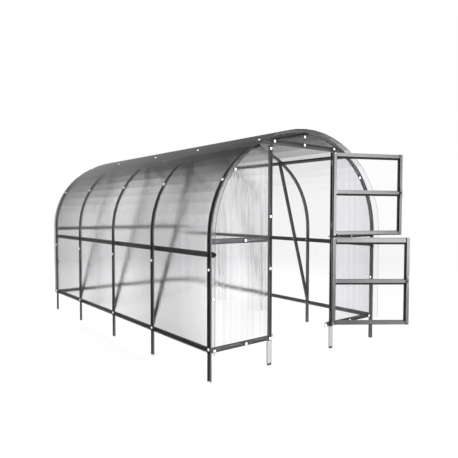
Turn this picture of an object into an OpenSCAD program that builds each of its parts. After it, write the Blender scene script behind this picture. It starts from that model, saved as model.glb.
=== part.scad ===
// Polycarbonate greenhouse: five hat-section steel arches on anchor legs, purlins,
// diagonal struts, two gables, a clear twin-wall cover and a two-leaf stable door.
// X is the width, Y the length with the door at -Y, Z is up from the leg feet.

/* [Greenhouse] */
// Width between the centre lines of the legs
width = 2350; // [2000:10:3000]
// First bay, from the door arch to the second arch
bay_1 = 990; // [700:5:1200]
// Second bay
bay_2 = 920; // [700:5:1200]
// Third bay
bay_3 = 1035; // [700:5:1200]
// Fourth bay, to the rear arch
bay_4 = 925; // [700:5:1200]
// Length of the anchor legs below the base line
leg_below = 270; // [150:5:400]
// Height of the straight wall above the base line
spring_h = 975; // [800:5:1250]
// Radius of the shoulder bend at the middle of the profile
shoulder_r = 960; // [700:10:980]
// Angle that each shoulder bend turns through
shoulder_sweep = 50; // [40:0.5:56]
// Number of flat steps that each shoulder bend is rolled in
shoulder_steps = 8; // [3:1:16]
// Number of flat steps in the crown bend on each side of the flat at the ridge
crown_side_steps = 6; // [3:1:15]

/* [Steel profile] */
// Width of the hat profile across its flanges
hat_w = 50; // [40:1:60]
// Depth of the hat profile
hat_d = 20; // [14:1:26]
// Width of the channel over its webs
channel_w = 30; // [22:1:36]
// Thickness of the steel
steel_t = 1; // [0.8:0.1:2]

/* [Rails and purlins] */
// Drop from the springing of the arches to the top of a side purlin
mid_purlin_drop = 113; // [60:1:400]
// Least drop from a gable lintel to an upper purlin, which sits on the next flat of the crown
upper_purlin_drop = 10; // [5:1:60]
// How far the purlins run past the end arches
purlin_tip = 50; // [30:1:84]
// Drop from the springing of the arches to the top of a gable rail
end_rail_drop = 0; // [0:1:40]
// Drop from the underside of the ridge to the top of a gable lintel
lintel_drop = 102; // [60:1:300]
// Height above the base line where a strut leaves its arch leg
strut_foot_h = 75; // [70:5:200]

/* [Cover] */
// Thickness of the twin-wall sheet
sheet_t = 4; // [3:0.5:8]
// How far the cover runs past the end arches
sheet_overhang = 90; // [88:1:140]
// How far the sheets hang below the base line
sheet_drop = 20; // [0:1:60]
// Gap between a gable panel and an arch or a purlin
panel_gap = 3; // [1:0.5:8]
// How far a sheet's edge stays back from the edge of the frame it is screwed to
sheet_setback = 2; // [1:0.5:5]

/* [Door] */
// Clear width of the doorway between the posts
door_w = 870; // [700:5:1000]
// Gap between the leaves and the posts
leaf_side_gap = 10; // [6:1:16]
// Gap between the upper leaf and the lintel
leaf_top_gap = 6; // [5:1:20]
// Gap between the two leaves
leaf_mid_gap = 20; // [8:1:30]
// Bottom of the lower leaf below the base line
leaf_drop = 5; // [0:1:20]
// Height of the lower leaf
lower_leaf_h = 942; // [800:2:1100]
// Middle of the middle rail above the foot of the lower leaf
lower_mid_rail = 471; // [300:1:600]
// Middle of the middle rail above the foot of the upper leaf
upper_mid_rail = 465; // [300:1:600]
// Width of the leaf profile's channel over its webs
leaf_channel_w = 30; // [20:1:34]
// Width of the lower leaf's top rail across its flanges
cap_rail_w = 62; // [50:1:80]
// Angle left between the upper leaf, held open, and the front edge of the cover
upper_leaf_margin = 4.4; // [4:0.1:160]
// Angle that the lower leaf stands open
lower_open = 143; // [0:1:165]

/* [Hinges and handles] */
// Height of one hinge
hinge_h = 60; // [40:2:100]
// Distance of a hinge from the end of its leaf
hinge_inset = 110; // [60:5:200]
// Width of one hinge plate
hinge_plate_w = 22; // [14:1:23]
// Thickness of the hinge plates
hinge_t = 2; // [1.5:0.1:3]
// Outer radius of the hinge barrel
barrel_r = 5; // [4:0.2:6]
// Radius of the hinge pin
pin_r = 2.5; // [1.5:0.1:3]
// Clearance between the pin and the moving knuckle
pin_gap = 0.3; // [0.2:0.05:0.5]
// Clearance between two knuckles
knuckle_gap = 1; // [0.5:0.1:2]
// Height of a pull handle
handle_h = 110; // [80:5:160]
// Diameter of the handle bar
handle_bar = 9; // [6:0.5:14]
// How far the handle stands off the stile
handle_reach = 32; // [20:1:50]
// Side of the square foot of a handle
handle_foot = 16; // [10:1:22]
// Thickness of a handle foot
handle_foot_t = 2; // [1:0.5:4]

/* [Hidden] */
$fn = 96;
STEEL = "#3e3e40";
DARK_STEEL = "#2a2a2b";
CLEAR = [0.86, 0.89, 0.90, 0.45];
ZINC = "#b9bcbf";
BAYS = [bay_1, bay_2, bay_3, bay_4];
LENGTH = bay_1 + bay_2 + bay_3 + bay_4;
ARCH_Y = [for (i = [0:4]) -LENGTH / 2 + sum_to(BAYS, i)];
FRONT_Y = ARCH_Y[0];
REAR_Y = ARCH_Y[4];
SEAM_Y = ARCH_Y[2];
BASE_Z = leg_below;
SPRING_Z = BASE_Z + spring_h;
// The shoulder arcs are centred inboard of the legs, and the crown arc on the axis.
SHOULDER_X = width / 2 - shoulder_r;
CROWN_R = shoulder_r + SHOULDER_X / cos(shoulder_sweep);
CROWN_Z = SPRING_Z - SHOULDER_X * tan(shoulder_sweep);
FLANGE_X = width / 2 + hat_d / 2;
INNER_X = width / 2 - hat_d / 2;
CROWN_STEPS = 2 * crown_side_steps + 1;
CROWN_STEP = (180 - 2 * shoulder_sweep) / CROWN_STEPS;
// Distances of the arch's inner and outer flats from the centre of the crown bend.
PURLIN_R = (CROWN_R - hat_d / 2) * cos(CROWN_STEP / 2);
FLANGE_R = (CROWN_R + hat_d / 2) * cos(CROWN_STEP / 2);
MID_Z = SPRING_Z - mid_purlin_drop - hat_w / 2;
END_RAIL_Z = SPRING_Z - end_rail_drop - hat_w / 2;
LINTEL_Z = CROWN_Z + PURLIN_R - lintel_drop - hat_w / 2;
POST_X = door_w / 2 + hat_w / 2;
POST_TOP = LINTEL_Z - hat_w / 2;
// An upper purlin sits on the first flat where its upper corner is far enough below the lintel.
PURLIN_CORNER = [hat_w / 2, PURLIN_R];
PURLIN_TOP = POST_TOP - upper_purlin_drop - CROWN_Z;
PURLIN_MIN_TILT = acos(PURLIN_TOP / norm(PURLIN_CORNER)) + atan2(PURLIN_CORNER[0], PURLIN_CORNER[1]);
UPPER_TILT = ceil(PURLIN_MIN_TILT / CROWN_STEP) * CROWN_STEP;
PANEL_FOOT = BASE_Z - sheet_drop;
DOOR_EDGE = door_w / 2 + sheet_setback;
// The struts run from the legs to the inner faces of the upper purlins.
STRUT_FOOT = [INNER_X, BASE_Z + strut_foot_h];
PURLIN_IN_R = PURLIN_R - hat_d;
STRUT_HEAD = [PURLIN_IN_R * sin(UPPER_TILT), CROWN_Z + PURLIN_IN_R * cos(UPPER_TILT)];
STRUT_RUN = STRUT_HEAD - STRUT_FOOT;
STRUT_LEAN = atan2(-STRUT_RUN[0], STRUT_RUN[1]);
STRUT_LEN = norm(STRUT_RUN);
LEAF_W = door_w - 2 * leaf_side_gap;
LOWER_Z = BASE_Z - leaf_drop;
UPPER_Z = LOWER_Z + lower_leaf_h + leaf_mid_gap;
UPPER_H = POST_TOP - leaf_top_gap - UPPER_Z;
STILE_X = LEAF_W / 2 - hat_w / 2;
RAIL_X = LEAF_W / 2 - hat_w;
HINGE_X = door_w / 2 - leaf_side_gap / 2;
// The gable frames stand inside the end arches, with their faces on the arches' middle lines.
PLATE_Y = FRONT_Y - sheet_t;
HINGE_Y = PLATE_Y - barrel_r;
// The open upper leaf stays clear of the cover's front edge, beside the leaf's top.
COVER_X = sqrt(FLANGE_R * FLANGE_R - pow(UPPER_Z + UPPER_H - CROWN_Z, 2));
COVER_AHEAD = HINGE_Y - FRONT_Y + sheet_overhang;
UPPER_OPEN = 180 - atan2(COVER_AHEAD, COVER_X - HINGE_X) - upper_leaf_margin;
HANDLE_Y = FRONT_Y + hat_d;

function sum_to(v, n) = n == 0 ? 0 : v[n - 1] + sum_to(v, n - 1);

// Hat section: flange faces on y = 0, crown face on y = -depth, channel open to +y.
module hat_section(w = hat_w, channel = channel_w) {
    inside = channel / 2 - steel_t;
    polygon([
        [-w / 2, 0], [-inside, 0], [-inside, steel_t - hat_d], [inside, steel_t - hat_d],
        [inside, 0], [w / 2, 0], [w / 2, -steel_t], [channel / 2, -steel_t],
        [channel / 2, -hat_d], [-channel / 2, -hat_d], [-channel / 2, -steel_t], [-w / 2, -steel_t]
    ]);
}

module both_sides() {
    children();
    mirror([1, 0, 0]) children();
}

function turn(x, z, r, a) = [x + r * cos(a), z + r * sin(a)];

// The arch's line at a distance inwards from its flange faces, from the right foot over
// the shoulder, the crown and the other shoulder to the left foot, in flat steps.
function arch_line(inset, foot_z) =
    let (
        bend_r = shoulder_r + hat_d / 2 - inset,
        top_r = CROWN_R + hat_d / 2 - inset,
        step = shoulder_sweep / shoulder_steps
    )
    concat(
        [[FLANGE_X - inset, foot_z]],
        [for (i = [0:shoulder_steps]) turn(SHOULDER_X, SPRING_Z, bend_r, i * step)],
        [for (i = [1:CROWN_STEPS - 1]) turn(0, CROWN_Z, top_r, shoulder_sweep + i * CROWN_STEP)],
        [for (i = [shoulder_steps:-1:0]) turn(-SHOULDER_X, SPRING_Z, bend_r, 180 - i * step)],
        [[inset - FLANGE_X, foot_z]]
    );

function backwards(v) = [for (i = [len(v) - 1:-1:0]) v[i]];

// A strip that follows the arch between two insets, from one Y to another.
module arch_strip(outer, inner, y_from, y_to, foot_z) {
    translate([0, y_to, 0]) rotate([90, 0, 0]) linear_extrude(y_to - y_from)
        polygon(concat(arch_line(outer, foot_z), backwards(arch_line(inner, foot_z))));
}

// The hat section follows the arch: two flanges, two webs and the crown between them.
module arch(i) {
    web = channel_w / 2;
    color(STEEL) translate([0, ARCH_Y[i], 0]) {
        arch_strip(0, steel_t, -hat_w / 2, -web, 0);
        arch_strip(0, steel_t, web, hat_w / 2, 0);
        arch_strip(0, hat_d, -web, steel_t - web, 0);
        arch_strip(0, hat_d, web - steel_t, web, 0);
        arch_strip(hat_d - steel_t, hat_d, steel_t - web, web - steel_t, 0);
    }
}

// A hat bar along Y with its channel facing away from +Z before it is turned.
module bar_along_y(y_from, y_to) {
    translate([0, y_to, 0]) rotate([90, 0, 0]) linear_extrude(y_to - y_from) hat_section();
}

module side_bar(z, y_from, y_to) {
    translate([INNER_X, 0, z]) rotate([0, 90, 0]) bar_along_y(y_from, y_to);
}

module roof_bar(tilt) {
    translate([0, 0, CROWN_Z]) rotate([0, tilt, 0]) translate([0, 0, PURLIN_R])
        bar_along_y(FRONT_Y - purlin_tip, REAR_Y + purlin_tip);
}

module base_rail() {
    color(STEEL) side_bar(BASE_Z, FRONT_Y + hat_d, REAR_Y - hat_d);
}

module mid_purlin() {
    color(DARK_STEEL) side_bar(MID_Z, FRONT_Y - purlin_tip, REAR_Y + purlin_tip);
}

module upper_purlin() {
    color(STEEL) roof_bar(UPPER_TILT);
}

module ridge_purlin() {
    color(STEEL) roof_bar(0);
}

// A strut leans inwards from the leg; its ends are cut along the leg and the purlin.
module strut(i) {
    cut = 3 * hat_w;
    translate([0, ARCH_Y[i], 0]) difference() {
        translate([STRUT_FOOT[0], 0, STRUT_FOOT[1]]) rotate([0, -STRUT_LEAN, 0])
            translate([hat_d / 2, 0, -cut]) linear_extrude(STRUT_LEN + 2 * cut)
                rotate(90) mirror([0, 1]) hat_section();
        translate([INNER_X, -hat_w, STRUT_FOOT[1] - 2 * cut]) cube([2 * cut, 2 * hat_w, 6 * cut]);
        translate([0, 0, CROWN_Z]) rotate([0, UPPER_TILT, 0])
            translate([-3 * cut, -hat_w, PURLIN_IN_R]) cube([6 * cut, 2 * hat_w, 3 * cut]);
    }
}

module struts(i) {
    color(STEEL) both_sides() strut(i);
}

// Gable members are drawn for the front, at y = 0 on their flange faces, facing -Y.
module upright(x, z_from, z_to) {
    translate([x, 0, z_from]) rotate([0, 0, 180]) linear_extrude(z_to - z_from) hat_section();
}

module level_bar(x_from, x_to, z, w = hat_w, channel = channel_w) {
    translate([x_from, 0, z]) rotate([90, 0, 90]) linear_extrude(x_to - x_from)
        rotate(90) hat_section(w, channel);
}

module at_front() {
    translate([0, FRONT_Y, 0]) children();
}

module at_rear() {
    translate([0, REAR_Y, 0]) rotate([0, 0, 180]) children();
}

module post() {
    color(STEEL) upright(POST_X, 0, POST_TOP);
}

module lintel() {
    color(STEEL) intersection() {
        level_bar(-CROWN_R, CROWN_R, LINTEL_Z);
        rotate([90, 0, 0]) linear_extrude(3 * hat_d, center = true) arch_area(hat_d, PANEL_FOOT);
    }
}

module side_rails(z) {
    color(STEEL) both_sides() level_bar(POST_X + hat_w / 2, INNER_X, z);
}

module rails_across(z) {
    side_rails(z);
    color(STEEL) level_bar(-POST_X + hat_w / 2, POST_X - hat_w / 2, z);
}

// Area inside the arch, at a distance inwards from its flange faces.
module arch_area(inset, foot_z) {
    polygon(arch_line(inset, foot_z));
}

// Notches in the gable panels where the purlins run through them.
module purlin_notches() {
    notch_w = hat_w + 2 * panel_gap;
    notch_d = hat_d + 2 * panel_gap;
    for (side = [-1, 1]) {
        translate([side * (INNER_X - hat_d / 2), MID_Z]) square([notch_d, notch_w], center = true);
        translate([0, CROWN_Z]) rotate(-side * UPPER_TILT)
            translate([0, PURLIN_R - hat_d / 2]) square([notch_w, notch_d], center = true);
    }
    translate([0, CROWN_Z + PURLIN_R - hat_d / 2]) square([notch_w, notch_d], center = true);
}

module gable_panel(x_from, x_to, z_from, z_to) {
    color(CLEAR) rotate([90, 0, 0]) linear_extrude(sheet_t) difference() {
        intersection() {
            arch_area(hat_d + panel_gap, PANEL_FOOT);
            translate([x_from, z_from]) square([x_to - x_from, z_to - z_from]);
        }
        purlin_notches();
    }
}

// A side panel, from its inner edge outwards to the arch.
module side_panel(edge) {
    gable_panel(edge, width, PANEL_FOOT, LINTEL_Z - panel_gap / 2);
}

module middle_panel() {
    edge = POST_X - panel_gap / 2;
    gable_panel(-edge, edge, PANEL_FOOT, LINTEL_Z - panel_gap / 2);
}

module top_panel() {
    gable_panel(-width, width, LINTEL_Z + panel_gap / 2, LINTEL_Z + width);
}

module cover_sheet(y_from, y_to) {
    color(CLEAR) arch_strip(-sheet_t, 0, y_from, y_to, PANEL_FOOT);
}

// Turns a leaf, drawn shut, about its hinge line.
module swung(angle) {
    translate([HINGE_X, HINGE_Y, 0]) rotate([0, 0, angle])
        translate([-HINGE_X, -HINGE_Y, 0]) children();
}

module leaf_stiles(z, h) {
    color(STEEL) at_front() both_sides() translate([STILE_X, 0, z]) rotate([0, 0, 180])
        linear_extrude(h) hat_section(hat_w, leaf_channel_w);
}

module leaf_rail(z, w) {
    color(STEEL) at_front() level_bar(-RAIL_X, RAIL_X, z, w, leaf_channel_w + w - hat_w);
}

module leaf_rails(z, h, mid, top_w) {
    leaf_rail(z + hat_w / 2, hat_w);
    leaf_rail(z + mid, hat_w);
    leaf_rail(z + h - top_w / 2, top_w);
}

module leaf_sheet(z, h) {
    edge = sheet_setback;
    color(CLEAR) translate([edge - LEAF_W / 2, PLATE_Y, z + edge])
        cube([LEAF_W - 2 * edge, sheet_t, h - 2 * edge]);
}

module leaf_handle(z) {
    post_z = handle_h / 2 - handle_foot / 2;
    color(ZINC) translate([-STILE_X, HANDLE_Y, z]) {
        for (end = [-1, 1]) translate([0, 0, end * post_z]) {
            translate([-handle_foot / 2, 0, -handle_foot / 2])
                cube([handle_foot, handle_foot_t, handle_foot]);
            translate([0, handle_foot_t, 0]) rotate([-90, 0, 0])
                cylinder(d = handle_bar, h = handle_reach - handle_foot_t - handle_bar / 2);
        }
        translate([0, handle_reach - handle_bar / 2, -handle_h / 2])
            cylinder(d = handle_bar, h = handle_h);
    }
}

// Heights of the hinges of a leaf, at their middles.
function hinge_z(z, h) = [z + hinge_inset, z + h - hinge_inset];

// The moving half: a plate on the stile and the middle knuckle.
module moving_hinge() {
    third = hinge_h / 3;
    difference() {
        union() {
            translate([door_w / 2 - leaf_side_gap - hinge_plate_w, PLATE_Y - hinge_t, -hinge_h / 2])
                cube([hinge_plate_w, hinge_t, hinge_h]);
            translate([door_w / 2 - leaf_side_gap, PLATE_Y - hinge_t, -third / 2])
                cube([leaf_side_gap / 2, hinge_t, third]);
            translate([HINGE_X, HINGE_Y, -third / 2]) cylinder(r = barrel_r, h = third);
        }
        translate([HINGE_X, HINGE_Y, -hinge_h]) cylinder(r = pin_r + pin_gap, h = 2 * hinge_h);
    }
}

// The fixed half: a plate on the post, the outer knuckles and the pin.
module fixed_hinge() {
    third = hinge_h / 3;
    knuckle = third - knuckle_gap;
    translate([door_w / 2, PLATE_Y - hinge_t, -hinge_h / 2]) cube([hinge_plate_w, hinge_t, hinge_h]);
    for (end = [-1, 1]) translate([0, 0, end * (hinge_h - knuckle) / 2]) {
        translate([HINGE_X, HINGE_Y, -knuckle / 2]) cylinder(r = barrel_r, h = knuckle);
        translate([HINGE_X, PLATE_Y - hinge_t, -knuckle / 2]) cube([leaf_side_gap / 2, hinge_t, knuckle]);
    }
    translate([HINGE_X, HINGE_Y, -hinge_h / 2]) cylinder(r = pin_r, h = hinge_h);
}

module leaf_hinges(z, h) {
    color(STEEL) for (at = hinge_z(z, h)) translate([0, 0, at]) moving_hinge();
}

module post_hinges() {
    color(STEEL) for (at = concat(hinge_z(LOWER_Z, lower_leaf_h), hinge_z(UPPER_Z, UPPER_H)))
        translate([0, 0, at]) fixed_hinge();
}

arch(0);  // arch_1
arch(1);  // arch_2
arch(2);  // arch_3
arch(3);  // arch_4
arch(4);  // arch_5
struts(1);  // struts_2
struts(2);  // struts_3
struts(3);  // struts_4
mirror([1, 0, 0]) base_rail();  // base_rail_left
base_rail();  // base_rail_right
mirror([1, 0, 0]) mid_purlin();  // mid_purlin_left
mid_purlin();  // mid_purlin_right
mirror([1, 0, 0]) upper_purlin();  // upper_purlin_left
upper_purlin();  // upper_purlin_right
ridge_purlin();
at_front() mirror([1, 0, 0]) post();  // front_post_left
at_front() post();  // front_post_right
at_front() lintel();  // front_lintel
at_front() side_rails(END_RAIL_Z);  // front_mid_rails
at_front() side_rails(BASE_Z);  // front_base_rails
at_rear() post();  // rear_post_left
at_rear() mirror([1, 0, 0]) post();  // rear_post_right
at_rear() lintel();  // rear_lintel
at_rear() rails_across(END_RAIL_Z);  // rear_mid_rails
at_rear() rails_across(BASE_Z);  // rear_base_rails
cover_sheet(FRONT_Y - sheet_overhang, SEAM_Y);  // cover_sheet_front
cover_sheet(SEAM_Y, REAR_Y + sheet_overhang);  // cover_sheet_rear
at_front() mirror([1, 0, 0]) side_panel(DOOR_EDGE);  // front_panel_left
at_front() side_panel(DOOR_EDGE);  // front_panel_right
at_front() top_panel();  // front_panel_top
at_rear() side_panel(POST_X + panel_gap / 2);  // rear_panel_left
at_rear() middle_panel();  // rear_panel_middle
at_rear() mirror([1, 0, 0]) side_panel(POST_X + panel_gap / 2);  // rear_panel_right
at_rear() top_panel();  // rear_panel_top
swung(UPPER_OPEN) leaf_stiles(UPPER_Z, UPPER_H);  // upper_leaf_stiles
swung(UPPER_OPEN) leaf_rails(UPPER_Z, UPPER_H, upper_mid_rail, hat_w);  // upper_leaf_rails
swung(UPPER_OPEN) leaf_sheet(UPPER_Z, UPPER_H);  // upper_leaf_sheet
swung(UPPER_OPEN) leaf_handle(UPPER_Z + upper_mid_rail);  // upper_leaf_handle
swung(UPPER_OPEN) leaf_hinges(UPPER_Z, UPPER_H);  // upper_leaf_hinges
swung(lower_open) leaf_stiles(LOWER_Z, lower_leaf_h);  // lower_leaf_stiles
swung(lower_open) leaf_rails(LOWER_Z, lower_leaf_h, lower_mid_rail, cap_rail_w);  // lower_leaf_rails
swung(lower_open) leaf_sheet(LOWER_Z, lower_leaf_h);  // lower_leaf_sheet
swung(lower_open) leaf_handle(LOWER_Z + lower_mid_rail);  // lower_leaf_handle
swung(lower_open) leaf_hinges(LOWER_Z, lower_leaf_h);  // lower_leaf_hinges
post_hinges();
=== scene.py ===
import math
import bmesh
import bpy
from mathutils import Matrix, Vector


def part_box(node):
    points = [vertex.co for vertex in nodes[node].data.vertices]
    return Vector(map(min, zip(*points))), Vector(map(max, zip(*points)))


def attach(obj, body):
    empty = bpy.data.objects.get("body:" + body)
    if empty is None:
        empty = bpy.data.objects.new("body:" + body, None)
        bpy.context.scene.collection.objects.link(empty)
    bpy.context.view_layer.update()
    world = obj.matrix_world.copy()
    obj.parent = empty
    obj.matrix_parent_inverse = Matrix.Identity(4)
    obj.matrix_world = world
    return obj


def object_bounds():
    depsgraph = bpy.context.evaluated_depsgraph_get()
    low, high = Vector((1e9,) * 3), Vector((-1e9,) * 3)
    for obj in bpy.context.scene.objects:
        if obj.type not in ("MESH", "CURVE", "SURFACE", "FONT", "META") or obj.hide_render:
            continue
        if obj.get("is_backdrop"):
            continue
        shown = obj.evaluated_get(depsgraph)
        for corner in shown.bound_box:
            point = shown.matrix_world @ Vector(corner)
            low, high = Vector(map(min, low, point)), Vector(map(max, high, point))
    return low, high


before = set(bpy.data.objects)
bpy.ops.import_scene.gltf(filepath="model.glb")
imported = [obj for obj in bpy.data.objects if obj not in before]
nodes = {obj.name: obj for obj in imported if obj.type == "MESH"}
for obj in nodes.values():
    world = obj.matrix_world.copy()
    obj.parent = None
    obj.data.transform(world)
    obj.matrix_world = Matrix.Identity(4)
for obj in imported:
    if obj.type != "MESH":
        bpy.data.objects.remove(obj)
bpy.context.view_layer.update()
mm = 0.001
noiseMiddle = (0.3, 0.7)  # where nearly all of a noise's values lie
smoothAngle = 35  # degrees; edges sharper than this stay crisp
print("frame loaded:", len(nodes), "nodes")


def corner(node, x, y, z):
    # x, y and z are 0 for the low side of the node's box, 1 for the high side, or between
    low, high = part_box(node)
    return Vector([a + share * (b - a) for a, b, share in zip(low, high, (x, y, z))])


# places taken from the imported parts
archNames = ["arch_1", "arch_2", "arch_3", "arch_4", "arch_5"]
archYs = [corner(name, 0, 0.5, 0).y for name in archNames]
coverX = corner("cover_sheet_front", 1, 0, 0).x  # outer face of the cover beside the legs
baseZ = corner("front_base_rails", 0, 0, 0.5).z
railZ = corner("front_mid_rails", 0, 0, 0.5).z
lintelZ = corner("front_lintel", 0, 0, 0.5).z
ridgeZ = corner("ridge_purlin", 0, 0, 0).z
# outer faces of the gables' sheets and of their steel
panelY = {"front": corner("front_panel_left", 0, 0, 0).y, "rear": corner("rear_panel_left", 0, 1, 0).y}
frameY = {"front": corner("front_post_left", 0, 0, 0).y, "rear": corner("rear_post_left", 0, 1, 0).y}
outwards = {"front": -1, "rear": 1}
postX = corner("front_post_right", 0.5, 0, 0).x
postHalf = postX - corner("front_post_right", 0, 0, 0).x
postDepth = corner("front_post_right", 0, 1, 0).y - frameY["front"]
midPurlinZ = corner("mid_purlin_left", 0, 0, 0.5).z
paintedShadeEnd = -corner("arch_1", 0, 1, 0).y  # the painted shade lies inside, between the end arches


def hexColour(text):
    # sRGB hex to linear
    parts = [int(text[i:i + 2], 16) / 255 for i in (1, 3, 5)]
    return [c / 12.92 if c <= 0.04045 else ((c + 0.055) / 1.055) ** 2.4 for c in parts] + [1.0]


def addNode(tree, kind, inputs=None, **settings):
    node = tree.nodes.new(kind)
    for name, value in settings.items():
        setattr(node, name, value)
    for name, value in (inputs or {}).items():
        if isinstance(value, bpy.types.NodeSocket):
            tree.links.new(value, node.inputs[name])
        else:
            node.inputs[name].default_value = value
    return node


def newMaterial(name):
    material = bpy.data.materials.new(name)
    material.use_nodes = True
    material.node_tree.nodes.clear()
    return material, material.node_tree


def finishMaterial(tree, shader):
    addNode(tree, "ShaderNodeOutputMaterial", {"Surface": shader})


def perMetre(sizeMm):
    # the scale of a pattern from the real size of its grain
    return 1 / (sizeMm * mm)


def setRamp(node, stops):
    ramp = node.color_ramp
    while len(ramp.elements) < len(stops):
        ramp.elements.new(0.5)
    for element, (place, level) in zip(ramp.elements, stops):
        element.position = place
        element.color = (level, level, level, 1)


# roll-formed steel under a smooth anthracite polyester powder coat: satin, with a fine orange peel
# and faint draw lines along the bar; the arches carry painted light, a lighter coat for their shaded channels
steelLook = {
    # dark and darkWorn are painted shade for the mid purlins
    "colour": "#262628", "worn": "#3a3a3d", "dark": "#131314", "darkWorn": "#1b1b1d",
    # painted light: the arches' coat is a shade lighter, to lift the shade in their channels behind the cover
    "arch": "#3c3c3f", "archWornPaintedLight": "#4b4b4e",
    "roughness": 0.34, "glossVaries": (-0.05, 0.06), "ior": 1.5,
    "peelMm": 3.0, "peelDepth": 0.00006,
    "cloudsPerMetre": 2.2, "wearOver": (0.12, 0.42),  # broad clouds of wear, and where they start and end
    "lineMm": 9.0,  # the real draw lines are 1 to 2 mm apart, drawn coarser so that they show
    "lineDepth": 0.00008,
}


def coatedSteel(name, colour, worn, across):
    # across is the direction over the draw lines, as a vector
    material, tree = newMaterial(name)
    place = addNode(tree, "ShaderNodeTexCoord").outputs["Object"]
    along = addNode(tree, "ShaderNodeVectorMath", {0: place, 1: across},
                    operation="DOT_PRODUCT").outputs["Value"]
    lines = addNode(tree, "ShaderNodeTexNoise", {
        "W": along, "Scale": perMetre(steelLook["lineMm"]), "Detail": 2.0},
        noise_dimensions="1D").outputs["Fac"]
    cloud = addNode(tree, "ShaderNodeTexNoise", {
        "Vector": place, "Scale": steelLook["cloudsPerMetre"], "Detail": 3.0}).outputs["Fac"]
    peel = addNode(tree, "ShaderNodeTexNoise", {
        "Vector": place, "Scale": perMetre(steelLook["peelMm"]), "Detail": 1.0}).outputs["Fac"]
    worked = addNode(tree, "ShaderNodeMath", {0: lines, 1: cloud}, operation="MULTIPLY").outputs[0]
    wearFrom, wearTo = steelLook["wearOver"]
    share = addNode(tree, "ShaderNodeMapRange", {
        "Value": worked, "From Min": wearFrom, "From Max": wearTo}).outputs[0]
    tone = addNode(tree, "ShaderNodeMix", {"Factor": share, "A": hexColour(colour), "B": hexColour(worn)},
                   data_type="RGBA")
    glossy, matt = (steelLook["roughness"] + change for change in steelLook["glossVaries"])
    gloss = addNode(tree, "ShaderNodeMapRange", {
        "Value": cloud, "From Min": noiseMiddle[0], "From Max": noiseMiddle[1],
        "To Min": glossy, "To Max": matt}).outputs[0]
    ridges = addNode(tree, "ShaderNodeBump", {
        "Height": lines, "Distance": steelLook["lineDepth"], "Strength": 1.0})
    skin = addNode(tree, "ShaderNodeBump", {
        "Height": peel, "Distance": steelLook["peelDepth"], "Strength": 1.0,
        "Normal": ridges.outputs["Normal"]})
    coat = addNode(tree, "ShaderNodeBsdfPrincipled", {
        "Base Color": tone.outputs[2], "Roughness": gloss, "IOR": steelLook["ior"],
        "Normal": skin.outputs["Normal"]})
    finishMaterial(tree, coat.outputs[0])
    return material


steelTones = steelLook["colour"], steelLook["worn"]
steelLinesX = coatedSteel("powderCoatedSteelLinesOverX", *steelTones, (1, 0, 0))
steelLinesY = coatedSteel("powderCoatedSteelLinesOverY", *steelTones, (0, 1, 0))
steelLinesZ = coatedSteel("powderCoatedSteelLinesOverZ", *steelTones, (0, 0, 1))
# painted light: the arches take the lighter coat
archSteelPaintedLight = coatedSteel("powderCoatedSteelArchesPaintedLight", steelLook["arch"], steelLook["archWornPaintedLight"], (0, 1, 0))
# painted shade: the mid purlins take a near-black coat that stands in for the shade under their channels' flanges
purlinSteelPaintedShade = coatedSteel("darkPowderCoatedSteelPaintedShade", steelLook["dark"], steelLook["darkWorn"], (0, 0, 1))

# extruded clear twin-wall polycarbonate: clear face on, grey and dim at a glancing look, with fine ribs and a thin
# lit film of dust and fine scratches;
# painted shade greys glancing looks on level and upward faces and in the front left, and painted reflection
# brightens the film at the rear
sheetLook = {
    "tint": "#fdfdfe", "ior": 1.58, "roughness": 0.085, "shadow": 0.9,
    # the ribs split the view sideways only, so level lines stay crisp
    "lensMm": 2.2, "lensTilt": 0.036, "lensSteps": 4.0,
    "ribMm": 20.0,  # the real ribs are 6 mm apart, drawn coarser so that they show
    "ribShare": 0.14,
    "streakMm": 55.0, "streakOver": (0.42, 0.62),  # slow waves in the wall thickness, left by the extruder
    # what the sheet lets through, by how far the look is from square on
    "through": ((0.0, 0.97), (0.2, 0.95), (0.3, 0.935), (0.4, 0.88), (0.44, 0.79), (0.5, 0.73), (0.55, 0.695),
                (0.575, 0.64), (0.6, 0.575), (0.65, 0.5), (0.7, 0.42), (0.8, 0.29), (0.9, 0.24), (1.0, 0.2)),
    "glanceOver": (0.42, 0.54),  # where a look turns from square on to glancing
    "skywardFrom": 0.05,  # a face looks up past this upward part of its normal
    # painted shade under the flats near the ridge: how much a glancing look keeps there, by how level a flat lies
    "levelPaintedShade": ((0.0, 1.0), (0.76, 1.0), (0.82, 0.84), (0.9, 0.55), (0.95, 0.47), (1.0, 0.42)),
    # painted shade on the faces that look up: how much of a look it lets by, by how far that is from square on
    "skywardPaintedShade": ((0.0, 1.0), (0.62, 1.0), (0.7, 0.62), (0.8, 0.3), (0.9, 0.18), (1.0, 0.12)),
    "dust": "#f2f2f4",
    # the share of the light that dust and fine scratches scatter back, on faces that look up and on the rest
    "dustShare": ((0.0, 0.006), (0.4, 0.012), (0.6, 0.02), (0.72, 0.035), (0.82, 0.085), (1.0, 0.1)),
    "mistShare": ((0.0, 0.006), (0.4, 0.012), (0.6, 0.02), (0.8, 0.035), (1.0, 0.055)),
    "rearPaintedReflection": (1.0, 1.8),  # painted reflection: the dust film's share grows towards the rear, away from the door
    # painted shade, darkest in the front left corner: what a glancing look keeps there and away from it
    "paintedShadeClears": (0.57, 1.3), "paintedShadeOver": (1.2, 1.0, 0.0), "paintedShadeFrom": -2.9, "paintedShadeTo": -1.3,
}


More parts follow.
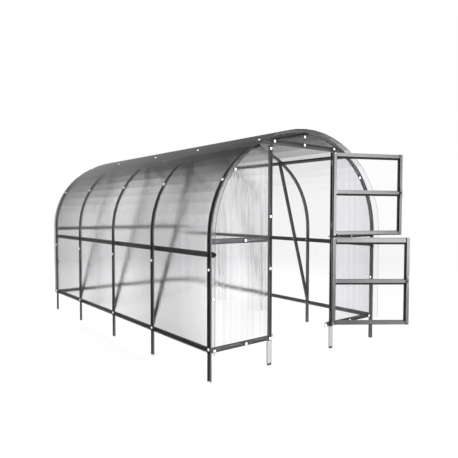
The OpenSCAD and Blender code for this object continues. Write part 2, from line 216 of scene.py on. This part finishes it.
def twinWall(name, across, ribDim=0.93, streakDim=1.0, haze=sheetLook["roughness"], clear=1.0,
             tilts=sheetLook["lensTilt"]):
    # across is the direction over the ribs; ribDim and streakDim are how dim a rib and a streak are
    material, tree = newMaterial(name)
    place = addNode(tree, "ShaderNodeTexCoord").outputs["Object"]
    over = addNode(tree, "ShaderNodeVectorMath", {0: place, 1: across},
                   operation="DOT_PRODUCT").outputs["Value"]
    turns = addNode(tree, "ShaderNodeMath", {0: over, 1: perMetre(sheetLook["ribMm"])},
                    operation="MULTIPLY").outputs[0]
    step = addNode(tree, "ShaderNodeMath", {0: turns}, operation="FRACT").outputs[0]
    onRib = addNode(tree, "ShaderNodeMath", {0: step, 1: sheetLook["ribShare"]},
                    operation="LESS_THAN").outputs[0]
    ribTone = addNode(tree, "ShaderNodeMapRange", {
        "Value": onRib, "To Min": clear, "To Max": clear * ribDim}).outputs[0]
    wave = addNode(tree, "ShaderNodeTexNoise", {
        "W": over, "Scale": perMetre(sheetLook["streakMm"]), "Detail": 1.0},
        noise_dimensions="1D").outputs["Fac"]
    streakFrom, streakTo = sheetLook["streakOver"]
    streakTone = addNode(tree, "ShaderNodeMapRange", {
        "Value": wave, "From Min": streakFrom, "From Max": streakTo,
        "To Min": 1.0, "To Max": streakDim}).outputs[0]
    wallTone = addNode(tree, "ShaderNodeMath", {0: ribTone, 1: streakTone}, operation="MULTIPLY").outputs[0]
    surface = addNode(tree, "ShaderNodeNewGeometry")
    flat = surface.outputs["True Normal"]  # each flat of the bent cover keeps its own even tone
    look = addNode(tree, "ShaderNodeLayerWeight", {"Blend": 0.5, "Normal": flat}).outputs["Facing"]
    through = addNode(tree, "ShaderNodeValToRGB", {"Fac": look})
    setRamp(through, sheetLook["through"])
    ribbed = addNode(tree, "ShaderNodeMath", {0: through.outputs["Color"], 1: wallTone},
                     operation="MULTIPLY").outputs[0]
    upright = addNode(tree, "ShaderNodeSeparateXYZ", {0: flat}).outputs["Z"]
    levelness = addNode(tree, "ShaderNodeMath", {0: upright}, operation="ABSOLUTE").outputs[0]
    # painted shade: glancing looks at flats that lie level are dimmed
    keeps = addNode(tree, "ShaderNodeValToRGB", {"Fac": levelness})
    setRamp(keeps, sheetLook["levelPaintedShade"])
    glanceFrom, glanceTo = sheetLook["glanceOver"]
    glance = addNode(tree, "ShaderNodeMapRange", {
        "Value": look, "From Min": glanceFrom, "From Max": glanceTo}).outputs[0]
    lengthwise = addNode(tree, "ShaderNodeSeparateXYZ", {0: place}).outputs["Y"]
    # painted reflection: the lit dust film's share grows towards the rear, brightening glancing looks there
    grown = addNode(tree, "ShaderNodeMapRange", {
        "Value": lengthwise, "From Min": archYs[0], "From Max": archYs[-1], "To Min": sheetLook["rearPaintedReflection"][0],
        "To Max": sheetLook["rearPaintedReflection"][1]}).outputs[0]
    # painted shade: glancing looks are dimmed most towards the front left, between the end arches
    away = addNode(tree, "ShaderNodeVectorMath", {0: place, 1: sheetLook["paintedShadeOver"]},
                   operation="DOT_PRODUCT").outputs["Value"]
    shadeLifted = addNode(tree, "ShaderNodeMapRange", {
        "Value": away, "From Min": sheetLook["paintedShadeFrom"], "From Max": sheetLook["paintedShadeTo"],
        "To Min": sheetLook["paintedShadeClears"][0], "To Max": sheetLook["paintedShadeClears"][1]}).outputs[0]
    between = addNode(tree, "ShaderNodeMath", {0: lengthwise, 1: 0.0, 2: paintedShadeEnd},
                      operation="COMPARE").outputs[0]
    frontLeftShade = addNode(tree, "ShaderNodeMix", {"Factor": between, "A": 1.0, "B": shadeLifted}).outputs[0]
    levelAndFrontShade = addNode(tree, "ShaderNodeMath", {0: keeps.outputs["Color"], 1: frontLeftShade},
                    operation="MULTIPLY").outputs[0]
    glancingShade = addNode(tree, "ShaderNodeMix", {"Factor": glance, "A": 1.0, "B": levelAndFrontShade}).outputs[0]
    skyward = addNode(tree, "ShaderNodeMath", {0: upright, 1: sheetLook["skywardFrom"]},
                      operation="GREATER_THAN").outputs[0]
    # painted shade: glancing looks at faces that look up are dimmed
    skywardPaintedShade = addNode(tree, "ShaderNodeValToRGB", {"Fac": look})
    setRamp(skywardPaintedShade, sheetLook["skywardPaintedShade"])
    skywardShade = addNode(tree, "ShaderNodeMix", {
        "Factor": skyward, "A": 1.0, "B": skywardPaintedShade.outputs["Color"]}).outputs[0]
    kept = addNode(tree, "ShaderNodeMath", {0: glancingShade, 1: skywardShade}, operation="MULTIPLY").outputs[0]
    dimmed = addNode(tree, "ShaderNodeMath", {0: ribbed, 1: kept}, operation="MULTIPLY").outputs[0]
    tinted = addNode(tree, "ShaderNodeMix", {"Factor": 1.0, "A": hexColour(sheetLook["tint"]), "B": dimmed},
                     data_type="RGBA", blend_type="MULTIPLY").outputs[2]
    # each sheet is tinted once, where the ray goes in
    tone = addNode(tree, "ShaderNodeMix", {
        "Factor": surface.outputs["Backfacing"], "A": tinted, "B": (1, 1, 1, 1)}, data_type="RGBA").outputs[2]
    lens = addNode(tree, "ShaderNodeTexNoise", {
        "W": over, "Scale": perMetre(sheetLook["lensMm"]), "Detail": 1.0},
        noise_dimensions="1D").outputs["Fac"]
    tilt = addNode(tree, "ShaderNodeMapRange", {
        "Value": lens, "From Min": noiseMiddle[0], "From Max": noiseMiddle[1],
        "To Min": -tilts, "To Max": tilts, "Steps": sheetLook["lensSteps"]},
        interpolation_type="STEPPED").outputs[0]
    sideways = addNode(tree, "ShaderNodeVectorMath", {0: across, "Scale": tilt},
                       operation="SCALE").outputs["Vector"]
    bent = addNode(tree, "ShaderNodeVectorMath", {0: flat, 1: sideways}, operation="ADD").outputs["Vector"]
    lensed = addNode(tree, "ShaderNodeVectorMath", {0: bent}, operation="NORMALIZE").outputs["Vector"]
    glass = addNode(tree, "ShaderNodeBsdfRefraction", {
        "Color": tone, "Roughness": haze, "IOR": sheetLook["ior"], "Normal": lensed}).outputs[0]
    film = addNode(tree, "ShaderNodeBsdfDiffuse", {"Color": hexColour(sheetLook["dust"])}).outputs[0]
    dust, mist = (addNode(tree, "ShaderNodeValToRGB", {"Fac": look}) for _ in range(2))
    setRamp(dust, sheetLook["dustShare"])
    setRamp(mist, sheetLook["mistShare"])
    dustAndRearReflection = addNode(tree, "ShaderNodeMath", {0: dust.outputs["Color"], 1: grown},
                        operation="MULTIPLY").outputs[0]
    scatter = addNode(tree, "ShaderNodeMix", {
        "Factor": skyward, "A": mist.outputs["Color"], "B": dustAndRearReflection}).outputs[0]
    goingIn = addNode(tree, "ShaderNodeMath", {0: 1.0, 1: surface.outputs["Backfacing"]},
                      operation="SUBTRACT").outputs[0]
    covering = addNode(tree, "ShaderNodeMath", {0: scatter, 1: goingIn}, operation="MULTIPLY").outputs[0]
    dusty = addNode(tree, "ShaderNodeMixShader", {0: covering, 1: glass, 2: film}).outputs[0]
    # the lamps shine straight through, a tenth weaker
    lightPasses = addNode(tree, "ShaderNodeBsdfTransparent", {
        "Color": (sheetLook["shadow"],) * 3 + (1,)}).outputs[0]
    ray = addNode(tree, "ShaderNodeLightPath").outputs["Is Shadow Ray"]
    finishMaterial(tree, addNode(tree, "ShaderNodeMixShader", {0: ray, 1: dusty, 2: lightPasses}).outputs[0])
    return material


def leafFrame(leaf):
    # turns (along the leaf from its hinge edge, out of its inner face, up) into the open leaf's place;
    # also the leaf's length and its lowest and highest z
    sheet = nodes[leaf + "_sheet"].data
    # opened this far, a leaf's inner face looks forward
    forwardFaces = [p for p in sheet.polygons if p.normal.y < -0.5]
    inward = max(forwardFaces, key=lambda p: p.area).normal
    along = Vector((-inward.y, inward.x, 0))
    edge = nodes[leaf + "_stiles"].data.vertices
    start, end = min(v.co.dot(along) for v in edge), max(v.co.dot(along) for v in edge)
    seat = max(v.co.dot(inward) for v in sheet.vertices)
    turn = Matrix((along, inward, (0, 0, 1))).transposed().to_4x4()
    place = Matrix.Translation(along * start + inward * seat) @ turn
    return place, end - start, corner(leaf + "_stiles", 0, 0, 0).z, corner(leaf + "_stiles", 0, 0, 1).z


leaves = {leaf: leafFrame(leaf) for leaf in ("upper_leaf", "lower_leaf")}
coverSheet = twinWall("clearTwinWallRibsOverY", (0, 1, 0))
gableSheet = twinWall("clearTwinWallRibsOverX", (1, 0, 0), streakDim=0.95, haze=0.05)
topSheet = twinWall("smokedTwinWallRibsOverX", (1, 0, 0), clear=0.56)
# the gable panel on the hinge side and the leaves' sheets are less hazy and hardly split the view
newSheet = {"haze": 0.04, "tilts": 0.004}
clearGable = twinWall("newTwinWallRibsOverX", (1, 0, 0), ribDim=0.985, streakDim=0.96, **newSheet)
# painted light and shade: the upper leaf's sheet lets through more light than reaches it, the lower leaf's less
upperSheet, lowerSheet = (
    twinWall(name, leaves[leaf][0].col[0].xyz, ribDim=0.99, clear=clear, **newSheet)
    for name, leaf, clear in (("newTwinWallUpperLeafPaintedLight", "upper_leaf", 1.03),
                              ("newTwinWallLowerLeafPaintedShade", "lower_leaf", 0.96)))


zincLook = {"blotchesPerMetre": 60.0, "gloss": (0.3, 0.5)}
nylonLook = {"grainsPerMetre": 700.0, "grainDepth": 0.00004, "ior": 1.53}


def zincPlate(name, colour, bloom):
    # passivated zinc plate on steel: pale, slightly blotched and brushed
    material, tree = newMaterial(name)
    place = addNode(tree, "ShaderNodeTexCoord").outputs["Object"]
    blotch = addNode(tree, "ShaderNodeTexNoise", {
        "Vector": place, "Scale": zincLook["blotchesPerMetre"], "Detail": 3.0}).outputs["Fac"]
    tone = addNode(tree, "ShaderNodeMix", {"Factor": blotch, "A": hexColour(colour), "B": hexColour(bloom)},
                   data_type="RGBA").outputs[2]
    glossy, matt = zincLook["gloss"]
    gloss = addNode(tree, "ShaderNodeMapRange", {"Value": blotch, "To Min": glossy, "To Max": matt}).outputs[0]
    metal = addNode(tree, "ShaderNodeBsdfPrincipled", {"Base Color": tone, "Roughness": gloss, "Metallic": 1.0})
    finishMaterial(tree, metal.outputs[0])
    return material


def mouldedNylon(name, colour, shade, roughness, shine=0.5):
    # injection-moulded nylon: even colour with a soft sheen and a faint grain
    material, tree = newMaterial(name)
    place = addNode(tree, "ShaderNodeTexCoord").outputs["Object"]
    grain = addNode(tree, "ShaderNodeTexNoise", {
        "Vector": place, "Scale": nylonLook["grainsPerMetre"], "Detail": 1.0}).outputs["Fac"]
    tone = addNode(tree, "ShaderNodeMix", {"Factor": grain, "A": hexColour(colour), "B": hexColour(shade)},
                   data_type="RGBA").outputs[2]
    relief = addNode(tree, "ShaderNodeBump", {
        "Height": grain, "Distance": nylonLook["grainDepth"], "Strength": 1.0}).outputs["Normal"]
    body = addNode(tree, "ShaderNodeBsdfPrincipled", {
        "Base Color": tone, "Roughness": roughness, "IOR": nylonLook["ior"], "Specular IOR Level": shine,
        "Normal": relief})
    finishMaterial(tree, body.outputs[0])
    return material


zinc = zincPlate("zincPlatedSteel", "#a5a6a6", "#c8c9c9")
# painted shade: the handles take a darker zinc than the anchors, standing in for the shade they sit in
handleZincPaintedShade = zincPlate("darkZincPlatedSteelPaintedShade", "#7c7f82", "#94979a")
whiteNylon = mouldedNylon("whiteMouldedNylon", "#f4f4f2", "#ececea", 0.35)
blackNylon = mouldedNylon("blackMouldedNylon", "#1b1b1c", "#242425", 0.45)
# extruded EPDM rubber: matt black with a dusty bloom; the same rubber paints the shade strips on the leaves'
# flanges
rubberAndShadeStrips = mouldedNylon("blackExtrudedRubberAndPaintedShade", "#0c0c0d", "#141415", 0.8, 0.2)

nodeMaterials = {
    archSteelPaintedLight: archNames,
    steelLinesY: ["struts_2", "struts_3", "struts_4"],
    steelLinesZ: ["base_rail_left", "base_rail_right", "front_lintel", "front_mid_rails", "front_base_rails",
                  "rear_lintel", "rear_mid_rails", "rear_base_rails", "upper_leaf_rails", "lower_leaf_rails"],
    steelLinesX: ["upper_purlin_left", "upper_purlin_right", "ridge_purlin", "front_post_left", "front_post_right",
                  "rear_post_left", "rear_post_right", "upper_leaf_stiles", "lower_leaf_stiles",
                  "upper_leaf_hinges", "lower_leaf_hinges", "post_hinges"],
    purlinSteelPaintedShade: ["mid_purlin_left", "mid_purlin_right"],
    coverSheet: ["cover_sheet_front", "cover_sheet_rear"],
    gableSheet: ["front_panel_left", "rear_panel_left", "rear_panel_middle", "rear_panel_right"],
    topSheet: ["front_panel_top", "rear_panel_top"],
    clearGable: ["front_panel_right"],
    upperSheet: ["upper_leaf_sheet"],
    lowerSheet: ["lower_leaf_sheet"],
    handleZincPaintedShade: ["upper_leaf_handle", "lower_leaf_handle"],
}
for material, names in nodeMaterials.items():
    for name in names:
        slots = nodes[name].data.materials
        slots.clear()
        slots.append(material)
print("materials assigned")


def meshObject(name, bm, material, body):
    mesh = bpy.data.meshes.new(name)
    for face in bm.faces:
        face.smooth = True
    bm.to_mesh(mesh)
    bm.free()
    mesh.materials.append(material)
    mesh.set_sharp_from_angle(angle=math.radians(smoothAngle))
    piece = bpy.data.objects.new(name, mesh)
    bpy.context.scene.collection.objects.link(piece)
    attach(piece, body)
    return piece


def facing(point, normal):
    # stands a shape drawn up +Z on a surface at that point
    return Matrix.Translation(point) @ Vector(normal).to_track_quat("Z", "Y").to_matrix().to_4x4()


def asMesh(bm):
    mesh = bpy.data.meshes.new("shape")
    bm.to_mesh(mesh)
    bm.free()
    return mesh


def turned(profileMm, steps):
    # a closed turned shape about Z, from (radius, height) pairs in mm that start and end on the axis
    bm = bmesh.new()
    verts = [bm.verts.new((radius * mm, 0, height * mm)) for radius, height in profileMm]
    edges = [bm.edges.new(pair) for pair in zip(verts, verts[1:])]
    bmesh.ops.spin(bm, geom=verts + edges, cent=(0, 0, 0), axis=(0, 0, 1), angle=math.tau, steps=steps,
                   use_merge=True, use_duplicate=False)
    bmesh.ops.remove_doubles(bm, verts=bm.verts, dist=1e-6)
    bmesh.ops.recalc_face_normals(bm, faces=bm.faces)
    return asMesh(bm)


def addCopy(bm, mesh, place):
    start = len(bm.verts)
    bm.from_mesh(mesh)
    bm.verts.ensure_lookup_table()
    bmesh.ops.transform(bm, matrix=place, verts=bm.verts[start:])


def addBlock(bm, low, high, place=Matrix(), bevel=0.001):
    # a block with rounded edges between two corners
    block = bmesh.new()
    size, centre = Vector(high) - Vector(low), (Vector(high) + Vector(low)) / 2
    bmesh.ops.create_cube(block, size=1, matrix=Matrix.Translation(centre) @ Matrix.Diagonal((*size, 1)))
    bmesh.ops.bevel(block, geom=block.edges, offset=bevel, segments=2, profile=0.5, affect="EDGES", material=-1)
    addCopy(bm, asMesh(block), place)


# screws through the sheets, each under a white moulded cap with a thin washer edge
capScrew = {
    "profileMm": ((0, 7.5), (4, 7.3), (7, 6.4), (9, 4.6), (9.6, 2.6), (12, 2.0), (12.6, 1.0), (12, 0), (0, 0)),
    "steps": 20,
    "legHeights": (baseZ + 0.013, midPurlinZ - 0.1295), "bendHeights": (1.761, 2.147),
    "postX": 0.468, "postHeights": (2.079, 1.435, 0.938), "footX": -0.468, "footZ": baseZ - 0.006,
    "railX": (0.768, 1.132), "baseRailZ": baseZ - 0.004, "midRailX": 0.78, "midRailZ": railZ - 0.002,
    "archAt": {-1: ((1.147, 0.72), (0.905, 1.858)), 1: ((1.147, 0.72), (0.918, 1.868))},
    "lintelX": (-0.42, 0.0, 0.462), "lintelZ": lintelZ + 0.007, "ridgeDrop": 0.018,
    "sleeveMm": ((0, 10), (9.5, 10), (10.5, 9), (10.5, 1), (11.5, 0), (0, 0)),  # sleeves under the gables' caps
    "sleeve": 0.01,
    "besideSeam": 0.001,  # how far off the cover's seam a screw is set
    "castFrom": 3.0,  # out here, a line of sight to the cover starts
}
capMesh = turned(capScrew["profileMm"], capScrew["steps"])


def coverSpot(node, side, y, z):
    # the place and outward normal on a cover sheet at a height, from the sheet itself
    _, place, normal, _ = nodes[node].ray_cast((side * capScrew["castFrom"], y, z), (-side, 0, 0))
    return place, normal


def capScrews(name, spots, lift=0.0):
    caps, sleeves = bmesh.new(), bmesh.new()
    for place, normal in spots:
        addCopy(caps, capMesh, facing(place + Vector(normal) * lift, normal))
        if lift:
            addCopy(sleeves, sleeveMesh, facing(place, normal))
    meshObject(name, caps, whiteNylon, "frame")
    if lift:
        meshObject(name + "_sleeves", sleeves, blackNylon, "frame")


sleeveMesh = turned(capScrew["sleeveMm"], capScrew["steps"])
for side, name in ((-1, "left"), (1, "right")):
    spots = [(Vector((side * coverX, y, z)), Vector((side, 0, 0)))
             for y in archYs for z in capScrew["legHeights"]]
    seam, beside = corner("cover_sheet_front", 0, 1, 0).y, capScrew["besideSeam"]
    for y in archYs:
        node, inside = ("cover_sheet_front", -beside) if y < seam + beside else ("cover_sheet_rear", beside)
        spots += [coverSpot(node, side, y + inside, z) for z in capScrew["bendHeights"]]
    capScrews("cover_screws_" + name, spots)

for gable, out in outwards.items():
    spots = [(side * capScrew["postX"], z) for side in (-1, 1) for z in capScrew["postHeights"]]
    spots += [(side * x, capScrew["baseRailZ"]) for side in (-1, 1) for x in capScrew["railX"]]
    spots += [(side * capScrew["midRailX"], capScrew["midRailZ"]) for side in (-1, 1)]
    spots += [(side * x, z) for side in (-1, 1) for x, z in capScrew["archAt"][side]]
    spots += [(x, capScrew["lintelZ"]) for x in capScrew["lintelX"]]
    spots += [(capScrew["footX"], capScrew["footZ"]), (0, ridgeZ - capScrew["ridgeDrop"])]
    capScrews("gable_screws_" + gable, [(Vector((x, panelY[gable], z)), Vector((0, out, 0))) for x, z in spots],
              capScrew["sleeve"])
print("cap screws set")


def foldedStrip(bm, points, low, high, thick):
    # a folded steel strip: an open line of (x, y) points, drawn up from low to high and given its thickness
    verts = [bm.verts.new((x, y, low)) for x, y in points]
    edges = [bm.edges.new(pair) for pair in zip(verts, verts[1:])]
    grown = bmesh.ops.extrude_edge_only(bm, edges=edges)["geom"]
    risen = [v for v in grown if isinstance(v, bmesh.types.BMVert)]
    bmesh.ops.translate(bm, vec=(0, 0, high - low), verts=risen)
    faces = [face for face in grown if isinstance(face, bmesh.types.BMFace)]
    bmesh.ops.solidify(bm, geom=faces, thickness=thick)


# zinc anchor sleeves on the legs of the posts, rubber feet under them and brackets behind them
anchor = {
    "thick": 0.002, "gauge": 0.00198,  # the steel is a hair thinner than the room it takes
    "lip": 0.014, "low": 0.022, "gap": 0.004, "foot": (0.024, 0.004),
}
bracket = {"reach": 0.052, "behindPost": 0.04, "low": 0.236, "high": 0.288, "thick": 0.003, "offset": 0.007,
           "spacer": (0.016, 0.034), "spacerInset": 0.01, "capX": 0.408, "capZ": 0.251}
legTop = corner("front_base_rails", 0, 0, 0).z - anchor["gap"]
for gable, out in outwards.items():
    sleeves, feet, brackets, caps = bmesh.new(), bmesh.new(), bmesh.new(), bmesh.new()
    face, back = frameY[gable], frameY[gable] - out * postDepth
    for side in (-1, 1):
        half = postHalf + anchor["thick"]
        foldedStrip(sleeves, [(side * postX + x * side * out, face + out * y) for x, y in (
            (-half, -anchor["lip"]), (-half, anchor["thick"]), (half, anchor["thick"]), (half, -anchor["lip"]))],
            anchor["low"], legTop, anchor["gauge"])
        wide, deep = anchor["foot"]
        addBlock(feet, (side * postX - wide, face - deep / 2, 0),
                 (side * postX + wide, face + deep / 2, anchor["low"]))
        doorway = postX - postHalf
        near, far = bracket["offset"], bracket["offset"] + bracket["thick"]
        for (x0, x1), (y0, y1), inset in (
                ((doorway - bracket["reach"], doorway + bracket["behindPost"]), (near, far), 0),
                ([doorway + x for x in bracket["spacer"]], (0.0, near), bracket["spacerInset"])):
            xs, ys = sorted((side * x0, side * x1)), sorted((back - out * y0, back - out * y1))
            addBlock(brackets, (xs[0], ys[0], bracket["low"] + inset), (xs[1], ys[1], bracket["high"] - inset))
        capPlace = (side * bracket["capX"], back - out * near, bracket["capZ"])
        addCopy(caps, capMesh, facing(capPlace, (0, out, 0)))
    bmesh.ops.recalc_face_normals(sleeves, faces=sleeves.faces)
    meshObject(gable + "_anchor_sleeves", sleeves, zinc, "frame")
    meshObject(gable + "_anchor_feet", feet, blackNylon, "frame")
    meshObject(gable + "_foot_brackets", brackets, zinc, "frame")
    meshObject(gable + "_bracket_caps", caps, whiteNylon, "frame")
print("anchors and foot brackets set")

# painted shade: dark rubber strips on the leaves' inner flanges stand in for the shade below the rails and beside
# the free stile; also latch noses, and caps over the ends of the hinge bolts
leafTrim = {
    "shadeStripWide": 0.021, "shadeStripThick": 0.005, "overFlange": 0.009, "memberWide": 0.05, "flange": 0.001,
    "railsApart": 0.1,
    "noseMm": ((0, 9.0), (3, 8.6), (6.5, 7.0), (9, 3.5), (9.5, 0), (0, 0)), "noseSteps": 16,
    "channelDepth": 0.02, "boltScale": 0.4, "boltInset": 0.014,
}
noseMesh = turned(leafTrim["noseMm"], leafTrim["noseSteps"])


def railBands(leaf):
    # the lowest and highest z of each rail of a leaf
    heights = sorted({round(v.co.z, 5) for v in nodes[leaf + "_rails"].data.vertices})
    bands = [[heights[0], heights[0]]]
    for z in heights[1:]:
        if z - bands[-1][1] > leafTrim["railsApart"]:
            bands.append([z, z])
        bands[-1][1] = z
    return bands


for leaf, (place, length, low, high) in leaves.items():
    shadeStrips, noses, bolts = bmesh.new(), bmesh.new(), bmesh.new()
    member, wide = leafTrim["memberWide"], leafTrim["shadeStripWide"]
    near, far = leafTrim["flange"], leafTrim["flange"] + leafTrim["shadeStripThick"]
    top = leafTrim["overFlange"]
    bands = railBands(leaf)
    # painted shade: a dark strip along the lower flange of each rail, and one beside the free stile
    for z0, _ in bands:
        foot = max(z0 + top - wide, low)
        addBlock(shadeStrips, (member, near, foot), (length - member, far, z0 + top), place)
    free = length - member + top
    addBlock(shadeStrips, (free - wide, near, low + member / 2), (free, far, high - member / 2), place)
    middle = sum(bands[1]) / 2
    depth = leafTrim["channelDepth"]
    addCopy(noses, noseMesh, place @ facing((length - member / 2, depth, middle), (0, 1, 0)))
    for z in (low + leafTrim["boltInset"], high - leafTrim["boltInset"]):
        small = Matrix.Scale(leafTrim["boltScale"], 4)
        addCopy(bolts, capMesh, place @ facing((member / 2, depth, z), (0, 1, 0)) @ small)
    meshObject(leaf + "_painted_shade_strips", shadeStrips, rubberAndShadeStrips, leaf)
    meshObject(leaf + "_latch_nose", noses, blackNylon, leaf)
    meshObject(leaf + "_bolt_caps", bolts, zinc, leaf)
print("leaf trim set")

# a rubber stop between the leaves, a cable gland through the other post, and painted shade: dark blocks at the
# rails' ends beside the posts, standing in for the shade in the rails' open ends
doorTrim = {
    "stopMm": ((0, 20), (3.5, 19.5), (5.5, 17), (5.5, 4), (7, 3), (7, 0), (0, 0)),
    "stopSteps": 20, "stopZ": 1.217,
    "ringMm": ((0, 1.0), (9, 1.0), (10, 4), (13, 6), (18, 6), (20.5, 3.5), (21, 0), (0, 0)),
    "ringSteps": 28, "ringZ": 1.226,
    "endShadeHalf": (0.006, 0.017), "endShadeDeep": 0.003, "endShadeX": 0.5, "endShadeZ": 1.226,
}
stops, rings, endShades = bmesh.new(), bmesh.new(), bmesh.new()
addCopy(stops, turned(doorTrim["stopMm"], doorTrim["stopSteps"]), facing(
    (postX - postHalf, frameY["front"] + postDepth / 2, doorTrim["stopZ"]), (-1, 0, 0)))
addCopy(rings, turned(doorTrim["ringMm"], doorTrim["ringSteps"]), facing(
    (-postX, frameY["front"], doorTrim["ringZ"]), (0, -1, 0)))
for side in (-1, 1):
    wide, tall = doorTrim["endShadeHalf"]
    x, y = side * doorTrim["endShadeX"], panelY["front"]
    addBlock(endShades, (x - wide, y - doorTrim["endShadeDeep"], doorTrim["endShadeZ"] - tall),
             (x + wide, y, doorTrim["endShadeZ"] + tall))
meshObject("door_stop", stops, blackNylon, "frame")
meshObject("post_gland", rings, rubberAndShadeStrips, "frame")
meshObject("rail_end_painted_shade", endShades, blackNylon, "frame")
print("door trim set")

# hexagon bolts where the struts and the purlins meet the arches
hexBolt = {
    "radius": 0.008, "tall": 0.0055, "steps": 6, "bevel": 0.0008, "taper": 0.96,
    "washer": 0.0095, "washerTall": 0.0016, "washerSteps": 18,
}
bolt = bmesh.new()
for radius, tall, steps, base in (
        (hexBolt["washer"], hexBolt["washerTall"], hexBolt["washerSteps"], 0),
        (hexBolt["radius"], hexBolt["tall"], hexBolt["steps"], hexBolt["washerTall"])):
    bmesh.ops.create_cone(bolt, cap_ends=True, segments=steps, depth=tall,
                          radius1=radius, radius2=radius * hexBolt["taper"],
                          matrix=Matrix.Translation((0, 0, base + tall / 2)))
crown = [edge for edge in bolt.edges if all(vert.co.z > hexBolt["tall"] for vert in edge.verts)]
bmesh.ops.bevel(bolt, geom=crown, offset=hexBolt["bevel"], segments=2, profile=0.5, affect="EDGES", material=-1)
boltMesh = asMesh(bolt)
bolts = bmesh.new()
legIn = corner("mid_purlin_left", 1, 0, 0).x  # inner face of the left purlins
for index, y in enumerate(archYs):
    for side in (-1, 1):
        addCopy(bolts, boltMesh, facing((side * abs(legIn), y, midPurlinZ), (-side, 0, 0)))
        if 0 < index < len(archYs) - 1:  # the inner arches carry the struts
            addCopy(bolts, boltMesh, facing((side * abs(legIn), y, baseZ), (-side, 0, 0)))
meshObject("frame_bolts", bolts, zinc, "frame")
print("bolts set")

# plain pale studio: soft light from all round, a softbox ahead and one high behind
studio = {
    "worldLight": 1.0, "floorHalf": 60.0, "floorKeeps": 0.35, "floorFades": (4.0, 9.0), "paint": "#e9e9e9",
    "keyPower": 840.0, "keySize": (4.6, 3.4), "keyPlace": (-0.3, -8.5, 1.75), "keyAim": (0.4, -1.9, 1.2),
    "rimPower": 900.0, "rimSize": (4.0, 2.4), "rimPlace": (1.2, 8.0, 6.8), "rimAim": (-0.8, 0.0, 1.8),
}


def seenRays(tree):
    # 1 for a look straight at the stage, in a reflection or through a sheet
    light = addNode(tree, "ShaderNodeLightPath").outputs
    direct = addNode(tree, "ShaderNodeMath", {0: light["Is Camera Ray"], 1: light["Is Glossy Ray"]},
                     operation="MAXIMUM").outputs[0]
    return addNode(tree, "ShaderNodeMath", {0: direct, 1: light["Is Transmission Ray"]},
                   operation="MAXIMUM").outputs[0]


bm = bmesh.new()
bmesh.ops.create_grid(bm, x_segments=1, y_segments=1, size=studio["floorHalf"])
floorMesh = bpy.data.meshes.new("studio_floor")
bm.to_mesh(floorMesh)
bm.free()
floor = bpy.data.objects.new("studio_floor", floorMesh)
bpy.context.scene.collection.objects.link(floor)
floor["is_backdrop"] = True
floorMaterial, tree = newMaterial("paintedStudioFloor")
paint = addNode(tree, "ShaderNodeBsdfDiffuse", {"Color": hexColour(studio["paint"])}).outputs[0]
glow = addNode(tree, "ShaderNodeEmission", {"Color": (1, 1, 1, 1), "Strength": 1.0}).outputs[0]
# the paint runs out into plain white away from the piece
outwardsFrom = addNode(tree, "ShaderNodeVectorMath", {0: addNode(tree, "ShaderNodeTexCoord").outputs["Object"]},
                       operation="LENGTH").outputs["Value"]
unlit = addNode(tree, "ShaderNodeMapRange", {
    "Value": outwardsFrom, "From Min": studio["floorFades"][0], "From Max": studio["floorFades"][1],
    "To Min": 1 - studio["floorKeeps"], "To Max": 1.0}).outputs[0]
share = addNode(tree, "ShaderNodeMath", {0: seenRays(tree), 1: unlit}, operation="MULTIPLY").outputs[0]
finishMaterial(tree, addNode(tree, "ShaderNodeMixShader", {0: share, 1: paint, 2: glow}).outputs[0])
floorMesh.materials.append(floorMaterial)

world = bpy.data.worlds.new("studio_world")
bpy.context.scene.world = world
world.use_nodes = True
tree = world.node_tree
tree.nodes.clear()
strength = addNode(tree, "ShaderNodeMapRange", {
    "Value": seenRays(tree), "To Min": studio["worldLight"], "To Max": 1.0}).outputs[0]
addNode(tree, "ShaderNodeOutputWorld", {"Surface": addNode(tree, "ShaderNodeBackground", {
    "Color": (1, 1, 1, 1), "Strength": strength}).outputs[0]})


def softLamp(name, power, size, place, aim):
    lamp = bpy.data.lights.new(name, "AREA")
    lamp.shape = "RECTANGLE"
    lamp.size, lamp.size_y = size
    lamp.energy = power
    holder = bpy.data.objects.new(name, lamp)
    turn = (Vector(aim) - Vector(place)).to_track_quat("-Z", "Y")
    holder.matrix_world = Matrix.Translation(place) @ turn.to_matrix().to_4x4()
    bpy.context.scene.collection.objects.link(holder)


softLamp("key_softbox", studio["keyPower"], studio["keySize"], studio["keyPlace"], studio["keyAim"])
softLamp("rim_softbox", studio["rimPower"], studio["rimSize"], studio["rimPlace"], studio["rimAim"])

cameraView = {
    "place": (-3.5669, -5.1819, 1.4789), "yaw": 38.707, "pitch": -2.11, "roll": 0.169,
    "lens": 36.867, "sensor": 36,
}
yaw, pitch, roll = (math.radians(cameraView[k]) for k in ("yaw", "pitch", "roll"))
forward = Vector((math.sin(yaw) * math.cos(pitch), math.cos(yaw) * math.cos(pitch), math.sin(pitch)))
level = Vector((math.cos(yaw), -math.sin(yaw), 0))
upward = level.cross(forward)
right = math.cos(roll) * level + math.sin(roll) * upward
up = math.cos(roll) * upward - math.sin(roll) * level
lens = bpy.data.cameras.new("camera")
lens.sensor_width = cameraView["sensor"]
lens.lens = cameraView["lens"]
camera = bpy.data.objects.new("camera", lens)
turn = Matrix((right, up, -forward)).transposed().to_4x4()
camera.matrix_world = Matrix.Translation(cameraView["place"]) @ turn
bpy.context.scene.collection.objects.link(camera)
bpy.context.scene.camera = camera
bpy.context.scene.view_settings.view_transform = "Standard"
print("stage, light and camera set")

low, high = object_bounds()
